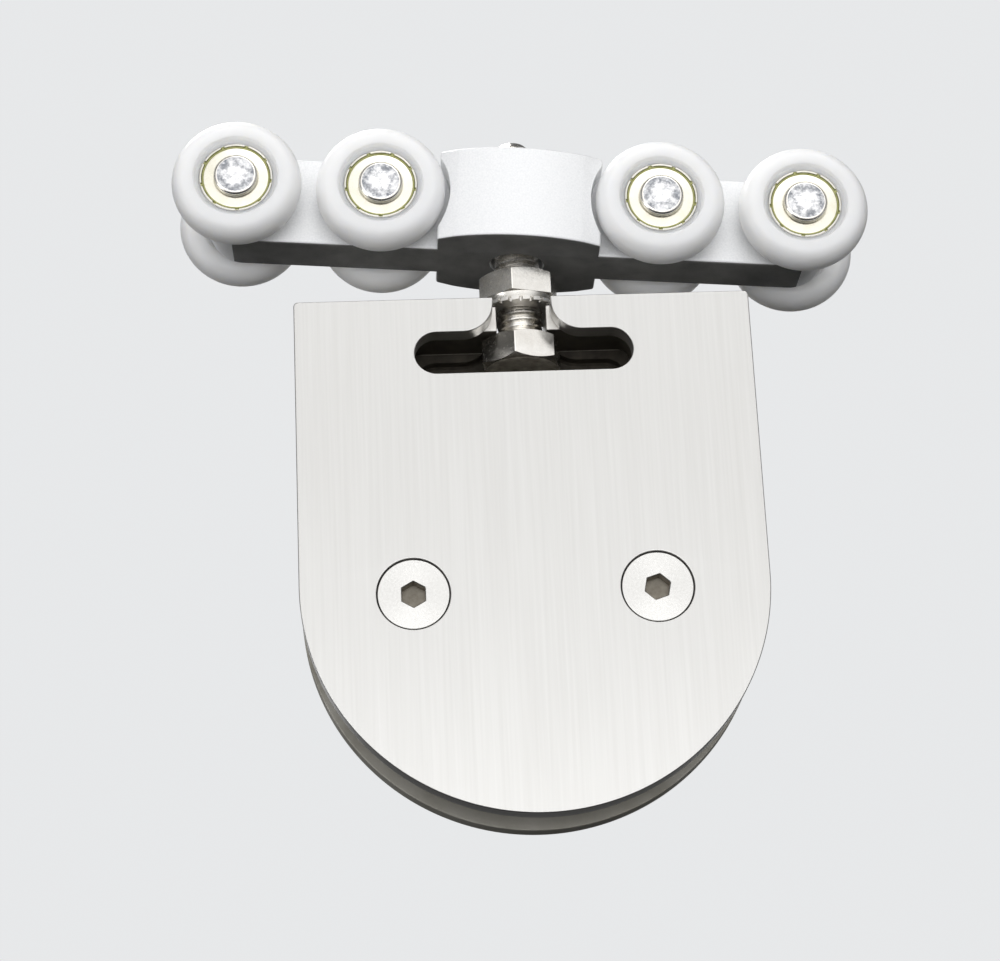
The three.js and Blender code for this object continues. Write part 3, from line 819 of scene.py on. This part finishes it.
def build_wheels():
    """Eight wheels from one set of meshes. The inner shields have no CAD node of their own."""
    kinds = {"tyre": (tyre_mesh(), "white_nylon", "wheel"),
             "outer_race": (race_mesh(), "bearing_steel", "wheel"),
             "shield": (shield_mesh(), "bearing_shield", "wheel"),
             "inner_race": (inner_race_mesh(), "bearing_steel", "carriage"),
             "ball_cage": (cage_mesh(), "bearing_steel", "cage")}
    inside = kinds["shield"][0].copy()
    inside.transform(rotation(180, "Z"))
    for end, side in ENDS.items():
        for number, along in enumerate(AXLES, 1):
            label = f"{end}_{number}"
            bodies = {"wheel": f"wheel_{label}", "carriage": "carriage", "cage": f"cage_{label}"}
            place = wheel_frame(side, along) @ rotation(37 * number + 11 * side)
            for kind, (mesh, slot, body) in kinds.items():
                stand_in(f"{kind}_{label}", mesh, bodies[body], slot, place)
            show(f"inner_shield_{label}", inside, f"wheel_{label}", [], "bearing_shield", place)


def build_axles():
    mesh = axle_mesh()
    for number, along in enumerate(AXLES, 1):
        place = CARRIAGE @ shift(along, 0, AXLE_OVER_FLOOR) @ rotation(71 * number)
        stand_in(f"axle_{number}", mesh, "carriage", "polished_steel", place)


# -------------------- carriage

def bar_outline():
    half, top, r = BAR_HALF_LENGTH, AXLE_OVER_FLOOR + BAR_OVER_AXLES, 6.5
    corners = [(-half, 0), (half, 0), (half, top), (-half, top)]
    return rounded(corners, r, 12)


def block_outline():
    """Plan of the block: bulged front and back with short flats next to its ends."""
    bend, bend_v, end_v, half_length, half_thickness = 11.6, 11.0, 9.6, 14.5, 12.9
    bulge = half_thickness - bend_v
    radius = (bend ** 2 + bulge ** 2) / (2 * bulge)
    centre = half_thickness - radius
    spread = math.degrees(math.asin(bend / radius))
    front = [(x, y, 0) for x, y in arc(0, -centre, radius, 270 - spread, 270 + spread, 24)]
    front = [(-half_length, -end_v, 0.6), *front, (half_length, -end_v, 0.6)]
    return rounded(front + [(-x, -y, r) for x, y, r in front], 0, 4)


def cylinder(name, radius, y0, y1, x, z, segments):
    """Cylinder along Y."""
    mesh = turned(name, [(0, y0), (radius, y0), (radius, y1), (0, y1)], segments)
    mesh.transform(shift(x, 0, z))
    return mesh


def seat_profile():
    """Hole of the hanger from below: neck, dome, wide bore."""
    mouth, neck, bore = 4.9, 4.75, 9.5
    radii = [r / 10 for r in range(51, 87, 5)]
    dome = [(r, math.sqrt(SEAT_DOME_RADIUS ** 2 - r ** 2)) for r in radii]
    return [(0, -1), (mouth, -1), (mouth, 0.0), (neck, 0.15), (neck, 1.5), *dome,
            (bore, dome[-1][1]), (bore, 30), (0, 30)]


def carriage_mesh():
    """One casting: bar, bulged block with room for the inner wheels, bosses, bores and the rocker's seat."""
    thick, level = BAR_HALF_THICKNESS, AXLE_OVER_FLOOR
    wheel_room = WHEEL_RADIUS + 0.9
    outside = 15.0
    boss = 2.9
    bar = slab("carriage_casting", bar_outline(), edge_profile(-thick, thick, 0.6, 4))
    block = upright(slab("block", block_outline(), edge_profile(0, level + BLOCK_OVER_AXLES, 0.45, 4)))
    rooms = []
    for along in (-WHEEL_NEAR, WHEEL_NEAR):
        for side in ENDS.values():
            low, high = sorted((side * thick, side * outside))
            rooms.append(("DIFFERENCE", cylinder("room", wheel_room, low, high, along, level, 96)))
    block = combine(block, rooms)
    reach = WHEEL_OFFSET - BEARING_HALF_WIDTH - 0.1
    bosses = [("UNION", cylinder("boss", boss, -reach, reach, along, level, 48)) for along in AXLES]
    bores = [("DIFFERENCE", cylinder("bore", AXLE_HOLE_RADIUS, -20, 20, along, level, 48)) for along in AXLES]
    seat = ("DIFFERENCE", turned_up("seat", seat_profile(), 128))
    mesh = combine(bar, [("UNION", block), *bosses, *bores, seat])
    # faces that look down, at the underside, get the dark grey look: painted shade
    return painted(mesh, "silver_casting", ("underside_shade", lambda at, normal: normal.z < -0.8 and at.z < 0.3))


def build_carriage():
    show("carriage_casting", carriage_mesh(), "carriage", ["carriage_body"], "silver_casting", CARRIAGE)


# -------------------- hanger

def bolt_mesh():
    """Hanger bolt: chamfered hexagon head with a ring on its end, and a rolled thread."""
    head_top = SHOULDER_Z - 0.1
    head_bottom = head_top - BOLT_HEAD_HEIGHT
    head = hex_body("hanger_bolt", HEX_FLATS, head_bottom, head_top, HEX_TURN)
    ring, thread_depth = 4.8, 0.68
    dish = turned_up("dish", [(0, -20), (ring, -20), (ring, head_bottom), (ring - 0.3, head_bottom + 0.12),
                              (0, head_bottom + 0.18)])
    shank = helix("thread", BOLT_RADIUS, BOLT_PITCH, thread_depth, head_top - 1.0, BOLT_TOP, 3.3, 2.5)
    bolt = combine(head, [("DIFFERENCE", dish), ("UNION", shank)])

    def on_end(at, normal):
        return normal.z < -0.9 and at.z < head_bottom + 0.3

    # the head's end, which looks down, is painted dark brown: painted shade
    return painted(bolt, "polished_steel", ("end_shade", on_end))


def bored(mesh, z0, z1):
    """A bore with chamfered mouths, cut through a body about Z."""
    bore, chamfer = BOLT_RADIUS + 0.15, 0.55
    mouth = bore + chamfer
    outline = [(0, z0 - 1), (mouth + 1, z0 - 1), (mouth, z0), (bore, z0 + chamfer),
               (bore, z1 - chamfer), (mouth, z1), (mouth + 1, z1 + 1), (0, z1 + 1)]
    return combine(mesh, [("DIFFERENCE", turned_up("bore", outline))])


def nut_mesh():
    """Hexagon nut on a conical collar."""
    low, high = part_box("lock_nut")
    z0, z1 = low.z / MM, high.z / MM
    body = hex_body("lock_nut", HEX_FLATS, z0 + 1.15, z1, HEX_TURN, low=False, cut=0.6)
    foot, top, overlap = 5.95, 6.4, z0 + 2
    profile = [(0, z0, 0), (foot, z0, 0.2), (top, z0 + 1.2, 0), (top, overlap, 0), (0, overlap, 0)]
    collar = turned_up("collar", rounded(profile, 0, 4, closed=False), 128)
    return bored(combine(body, [("UNION", collar)]), z0, z1)


def washer_mesh():
    """Lock washer with twisted teeth round its rim."""
    low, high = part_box("lock_washer")
    z0, z1 = low.z / MM, high.z / MM
    teeth, per_tooth = 24, 12
    tooth_share = 0.38
    gap_depth = 0.3
    root = 6.3
    rings = [4.3, 4.6, root, 6.6, 6.9, 7.2, 7.5]
    thick = 0.62 * (z1 - z0)
    rest = (z1 - z0 - thick) / 2
    count = teeth * per_tooth
    verts = []
    for level in (0, 1):
        for ring in rings:
            out = max(0.0, (ring - root) / (rings[-1] - root))
            for j in range(count):
                phase = j / per_tooth % 1 - 0.5
                solid = abs(phase) < tooth_share
                radius = ring if solid or not out else root + (ring - root) * gap_depth
                twist = out * phase * rest * 0.8 if solid else 0
                a = 2 * math.pi * j / count
                z = z0 + rest + level * thick + twist
                verts.append((radius * math.cos(a), radius * math.sin(a), z))
    faces = []
    level = len(rings) * count
    for i in range(len(rings) - 1):
        for j in range(count):
            k = (j + 1) % count
            a, b, c, d = i * count + j, i * count + k, (i + 1) * count + k, (i + 1) * count + j
            faces += [(a, b, c, d), (level + a, level + d, level + c, level + b)]
    for i in (0, len(rings) - 1):
        for j in range(count):
            a, b = i * count + j, i * count + (j + 1) % count
            faces.append((a, b, level + b, level + a))
    return mesh_of("lock_washer", verts, faces)


def rocker_mesh():
    """Washer with a flat top and a dome below, which rocks in the casting's seat."""
    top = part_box("rocker_washer")[1].z / MM - SEAT_Z
    radii = [r / 10 for r in range(56, 81, 3)]
    dome = [(r, math.sqrt(ROCKER_DOME_RADIUS ** 2 - r ** 2), 0) for r in radii]
    profile = [(8.0, top, 0.25), (5.6, top, 0.3), *dome]
    outline = [(r, z + SEAT_Z) for r, z in rounded(profile, 0, 3)]
    return turned_up("rocker_washer", outline)


def bush_mesh():
    """Threaded bush: collar, flange and hexagon."""
    low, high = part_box("threaded_bush")
    z0, z1 = low.z / MM, high.z / MM
    collar, flange = 5.3, 7.8
    flange_bottom = SEAT_Z + 9.9
    flange_top = flange_bottom + 2.4
    profile = [(0, z0, 0), (collar, z0, 0.3), (collar, flange_bottom, 0.1), (flange, flange_bottom, 0.3),
               (flange, flange_top, 0.4), (0, flange_top, 0)]
    body = turned_up("threaded_bush", rounded(profile, 0, 3, closed=False))
    hexagon_part = hex_body("hexagon", 11.0, flange_top - 0.5, z1, 0, low=False)
    return bored(combine(body, [("UNION", hexagon_part)]), z0, z1)


def build_hanger():
    stand_in("hanger_bolt", bolt_mesh(), "bolt", "polished_steel")
    stand_in("lock_nut", nut_mesh(), "nut", "polished_steel")
    stand_in("lock_washer", washer_mesh(), "washer", "plain_steel")
    stand_in("rocker_washer", rocker_mesh(), "rocker", "plain_steel")
    stand_in("threaded_bush", bush_mesh(), "bush", "plain_steel")


# -------------------- clamp

def slot_sides():
    """T-slot from the top edge's right end of its neck, down, round and up again to the left end."""
    end_radius = (SLOT_TOP - SLOT_BOTTOM) / 2
    end_x = SLOT_HALF_LENGTH - end_radius
    end_z = SLOT_BOTTOM + end_radius
    fillet_x = NECK_HALF_WIDTH + NECK_FILLET
    fillet_z = SLOT_TOP + NECK_FILLET
    right = [(NECK_HALF_WIDTH, fillet_z), *arc(fillet_x, fillet_z, NECK_FILLET, 180, 270, 20)[1:],
             *arc(end_x, end_z, end_radius, 90, -90, 32)]
    return [*right, *[(-x, z) for x, z in reversed(right)]]


def clamp_outline(slotted):
    """D outline, with or without the T-slot running in from its top edge."""
    top, r = CLAMP_TOP, 0.8
    slot = [(NECK_HALF_WIDTH, top), *slot_sides(), (-NECK_HALF_WIDTH, top)] if slotted else []
    left = arc(r - CLAMP_RADIUS, top - r, r, 90, 180, 6)
    right = arc(CLAMP_RADIUS - r, top - r, r, 0, 90, 6)
    return [*slot, *left, *arc(0, ARC_Z, CLAMP_RADIUS, 180, 360, 144), *right]


def screw_places():
    """(side, x, z) of the clamp screws."""
    places = []
    for side in ("left", "right"):
        middle = centre_of(f"clamp_screw_{side}") / MM
        places.append((side, middle.x, middle.z))
    return places


def plate_mesh(name, y0, y1, hole, slotted):
    """Plate with softened edges; hole gives its screw holes' (radius, y) rings."""
    holes = [(x, z, hole) for _, x, z in screw_places()]
    return slab(name, clamp_outline(slotted), edge_profile(y0, y1, 0.22), holes, 96)


def front_plate_mesh():
    """Slotted plate with two countersunk holes."""
    y0, y1 = -HALF_GAP - PLATE_THICKNESS, -HALF_GAP
    lip, bore = SCREW_HEAD_RADIUS + 0.2, 3.3
    hole = [(lip + 0.2, y0), (lip + 0.06, y0 + 0.06), (lip, y0 + 0.2), (lip, y0 + 0.7),
            (bore, y0 + 0.7 + lip - bore), (bore, y1 - 0.2), (bore + 0.2, y1)]
    # the inner face, toward the glass, gets the darker warm look: painted shade
    return painted(plate_mesh("front_plate", y0, y1, hole, True), "satin_stainless",
                   ("plate_side_shade", lambda at, _: at.y > y1 - 0.05))


def back_plate_mesh():
    """Plain plate with a blind T-slot in its inner face, room for the bolt's head."""
    y0, y1 = HALF_GAP, HALF_GAP + PLATE_THICKNESS
    mouth, bore = 3.6, 3.2
    hole = [(mouth, y0), (bore, y0 + 0.4), (bore, y1 - 0.4), (mouth, y1)]
    over, floor = CLAMP_TOP + 2, y0 + POCKET_DEPTH
    outline = [(NECK_HALF_WIDTH, over), *slot_sides(), (-NECK_HALF_WIDTH, over)]
    pocket = slab("pocket", outline, [(-0.3, y0 - 0.2), (0, y0 + 0.1), (0, floor - 0.4), (0.4, floor)])
    end, bottom = CHAMBER_HALF_LENGTH, CHAMBER_BOTTOM
    corners = [(-end, bottom), (end, bottom), (end, SHOULDER_Z), (-end, SHOULDER_Z)]
    chamber = slab("chamber", corners, [(0, y0 - 0.2), (0, y0 + 0.1)])
    plain = plate_mesh("back_plate", y0, y1, hole, False)
    plate = combine(plain, [("DIFFERENCE", pocket), ("DIFFERENCE", chamber)])
    # faces inside the pocket and chamber, painted brown-black below: painted shade
    hidden = within((0, SLOT_HALF_LENGTH + 1), (SLOT_BOTTOM - 1, CLAMP_TOP - 3), (y0 + 0.05, y1 - 0.5))
    # inner face and edges get the darker warm look, the slot's insides the brown-black one: both painted
    # shade
    return painted(plate, "satin_stainless", ("plate_side_shade", lambda at, _: at.y < y1 - 0.25), ("slot_shade", hidden))


def block_mesh():
    """Spacer between the plates: a notch for the bolt's shank and a chamber for its head."""
    half, y = CLAMP_RADIUS - 0.6, HALF_GAP - 0.1
    end, bottom, top = CHAMBER_HALF_LENGTH, CHAMBER_BOTTOM, CLAMP_TOP - 0.1
    right = [(half, top, 0.3), (NOTCH_HALF_WIDTH, top, 0.15), (NOTCH_HALF_WIDTH, SHOULDER_Z, 0.15),
             (end, SHOULDER_Z, 2), (end, bottom, 2)]
    left = [(-x, z, r) for x, z, r in reversed(right)]
    outline = [(-half, 0, 0.3), (half, 0, 0.3), *right, *left]
    block = slab("hanger_block", rounded(outline, 0, 4), edge_profile(-y, y, 0.15))
    underside = HALF_GAP - GASKET_THICKNESS - 0.2
    bevels = []
    for side in (-1, 1):
        corners = [(-0.5, underside - 0.5), (-0.5, y + 0.5), (y - underside + 0.5, y + 0.5)]
        bevel = prism("bevel", [(-z, side * v) for z, v in corners], -half - 1, half + 1)
        bevel.transform(rotation(90))
        bevels.append(("DIFFERENCE", bevel))
    chamber = within((0, end + 0.05), (bottom - 0.05, SHOULDER_Z + 0.05), (0.2 - y, y - 0.2))
    # the chamber's inside gets the brown-black look: painted shade
    return painted(combine(block, bevels), "plain_steel", ("slot_shade", chamber))


def gasket_mesh(name, y0, y1):
    shrink = 3.5
    mouth, bore = 5.5, 5.4
    radius, top, r = CLAMP_RADIUS - shrink, -0.6, 1.5
    outline = [*arc(0, ARC_Z, radius, 180, 360, 96), *arc(radius - r, top - r, r, 0, 90, 8),
               *arc(-radius + r, top - r, r, 90, 180, 8)]
    hole = [(mouth, y0), (bore, y0 + 0.1), (bore, y1 - 0.1), (mouth, y1)]
    return slab(name, outline, edge_profile(y0, y1, 0.15), [(x, z, hole) for _, x, z in screw_places()])


def screw_mesh():
    """Countersunk socket screw along +Y, its head's face at y = 0."""
    rim, neck = 0.3, 2.9
    cone_end = rim + SCREW_HEAD_RADIUS - SCREW_RADIUS
    thread_from = cone_end + 0.6
    neck_end = cone_end + 1.2
    profile = [(0, 0, 0), (SCREW_HEAD_RADIUS, 0, 0.18), (SCREW_HEAD_RADIUS, rim, 0.08),
               (neck, cone_end + 0.1, 0.2), (neck, neck_end, 0), (0, neck_end, 0)]
    head = turned("clamp_screw", rounded(profile, 0, 4, closed=False), 128)
    shank = helix("thread", SCREW_RADIUS, SCREW_PITCH, 0.55, 0, SCREW_LENGTH - thread_from, 2.45, 2.1, 48)
    shank.transform(rotation(-90, "X"))
    shank.transform(shift(0, thread_from, 0))
    socket = slab("socket", rounded(hexagon(4.0, 0), 0.15, 3), [(0, -0.5), (0, 2.4)])
    mouth = slab("mouth", rounded(hexagon(4.24, 0), 0.15, 3), [(0, -0.5), (0, 0), (0.12, 0.12)])
    drill = turned("drill", [(0, 1.0), (1.85, 1.0), (1.85, 2.3), (0, 3.3)], 64)
    cuts = [("DIFFERENCE", tool) for tool in (socket, mouth, drill)]
    screw = combine(head, [("UNION", shank), *cuts])
    # the socket's inside is painted dark brown: painted shade in the recess
    return painted(screw, "screw", ("end_shade", lambda at, _: off_axis(at) < 2.4 and 0.2 < at.y < 3.4))


def sleeve_mesh():
    half = HALF_GAP - GASKET_THICKNESS - 0.2
    bore, outside = 3.3, 5.0
    corners = [(bore, -half), (outside, -half), (outside, half), (bore, half)]
    return turned("glass_sleeve", rounded(corners, 0.25, 3))


def build_clamp():
    inner = HALF_GAP - 0.1
    front = gasket_mesh("front_gasket", -inner, GASKET_THICKNESS - inner)
    back = gasket_mesh("back_gasket", inner - GASKET_THICKNESS, inner)
    stand_in("front_plate", front_plate_mesh(), "front_clamp", "satin_stainless")
    stand_in("back_plate", back_plate_mesh(), "clamp", "satin_stainless")
    stand_in("hanger_block", block_mesh(), "clamp", "plain_steel")
    stand_in("front_gasket", front, "front_clamp", "black_rubber")
    stand_in("back_gasket", back, "clamp", "black_rubber")
    screw, sleeve = screw_mesh(), sleeve_mesh()
    turns = {"left": 0, "right": 12}
    for side, x, z in screw_places():
        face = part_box(f"clamp_screw_{side}")[0].y / MM
        place = shift(x, face, z) @ rotation(turns[side])
        stand_in(f"clamp_screw_{side}", screw, f"screw_{side}", "polished_steel", place)
        stand_in(f"glass_sleeve_{side}", sleeve, "clamp", "clear_sleeve", shift(x, 0, z))


# -------------------- stage, light and camera

def build_floor():
    """Pale floor below the hanging part. It takes light but throws none back on the part."""
    size, height = 6.0, -0.33
    bpy.ops.mesh.primitive_plane_add(size=size, location=(0, 0, height))
    floor = bpy.context.object
    floor.name = "floor"
    floor.data.materials.append(new_material("floor", (0.90, 0.90, 0.89), 0.0, 0.7))
    floor.visible_diffuse = False
    floor.visible_glossy = False


def build_world():
    """Pale room for the camera; for the part, a bright front, dim sides and back, and a dark floor."""
    world = bpy.data.worlds.new("studio")
    bpy.context.scene.world = world
    world.use_nodes = True
    nodes, links = world.node_tree.nodes, world.node_tree.links
    place = nodes.new("ShaderNodeTexCoord")
    axes = nodes.new("ShaderNodeSeparateXYZ")
    links.new(place.outputs["Generated"], axes.inputs["Vector"])
    below, above = 0.12, 1.46
    ahead, behind = 1.0, 0.08
    height = ramp(world, axes.outputs["Z"], below, above, -0.8, -0.12, "SMOOTHSTEP")
    front = ramp(world, axes.outputs["Y"], ahead, behind, -1.0, -0.2, "SMOOTHSTEP")
    light = nodes["Background"]
    light.inputs["Color"].default_value = (1, 1, 1, 1)
    links.new(maths(world, "MULTIPLY", height, front), light.inputs["Strength"])
    seen = nodes.new("ShaderNodeBackground")
    seen.inputs["Color"].default_value = (0.80, 0.81, 0.82, 1)
    path = nodes.new("ShaderNodeLightPath")
    choose = nodes.new("ShaderNodeMixShader")
    links.new(path.outputs["Is Camera Ray"], choose.inputs["Fac"])
    links.new(light.outputs["Background"], choose.inputs[1])
    links.new(seen.outputs["Background"], choose.inputs[2])
    links.new(choose.outputs["Shader"], nodes["World Output"].inputs["Surface"])


def soft_light(name, place, aim, size, power, color=(1, 1, 1), spread=120):
    """Rectangular area light that the camera can't see, in metres and watts."""
    data = bpy.data.lights.new(name, "AREA")
    data.shape = "RECTANGLE"
    data.size, data.size_y = size
    data.energy = power
    data.color = color
    data.spread = math.radians(spread)
    light = bpy.data.objects.new(name, data)
    bpy.context.scene.collection.objects.link(light)
    light.location = place
    light.visible_camera = False
    light.rotation_mode = "QUATERNION"
    light.rotation_quaternion = (Vector(aim) - Vector(place)).to_track_quat("-Z", "Y")


def build_lights():
    middle = (0.0, 0.0, -0.01)
    soft_light("key", (0.12, -0.45, 0.6), middle, (0.5, 0.4), 0.5, (1.0, 0.995, 0.985))
    soft_light("front", (0.0, -0.9, -0.06), (0.0, 0.0, 0.03), (0.9, 0.28), 0.95, spread=180)
    soft_light("left", (-0.75, -0.35, -0.2), (0.0, 0.0, 0.0), (0.4, 0.4), 1.3, spread=180)
    soft_light("back", (-0.2, 0.3, 0.65), middle, (0.3, 0.3), 1.6)
    soft_light("behind", (0.0, 0.9, 0.2), middle, (0.9, 0.4), 0.9, spread=180)


def build_camera():
    """Camera that looks up at the part, given by the point it aims at and the way back from there."""
    azimuth, elevation, roll = math.radians(-2.77), math.radians(-19.0), math.radians(-2.63)
    distance = 0.4454
    aim = Vector((-5.25, -9.3, -13.1)) * MM
    level = math.cos(elevation)
    back = Vector((math.sin(azimuth) * level, -math.cos(azimuth) * level, math.sin(elevation)))
    data = bpy.data.cameras.new("camera")
    data.lens = 93.6
    data.sensor_width = 36.0
    camera = bpy.data.objects.new("camera", data)
    bpy.context.scene.collection.objects.link(camera)
    camera.location = aim + back * distance
    camera.rotation_mode = "QUATERNION"
    camera.rotation_quaternion = (-back).to_track_quat("-Z", "Y") @ Quaternion((0, 0, 1), roll)
    bpy.context.scene.camera = camera


build_camera()
build_wheels()
build_axles()
build_carriage()
build_hanger()
build_clamp()
build_floor()
build_world()
build_lights()
bpy.context.scene.view_settings.view_transform = "Standard"
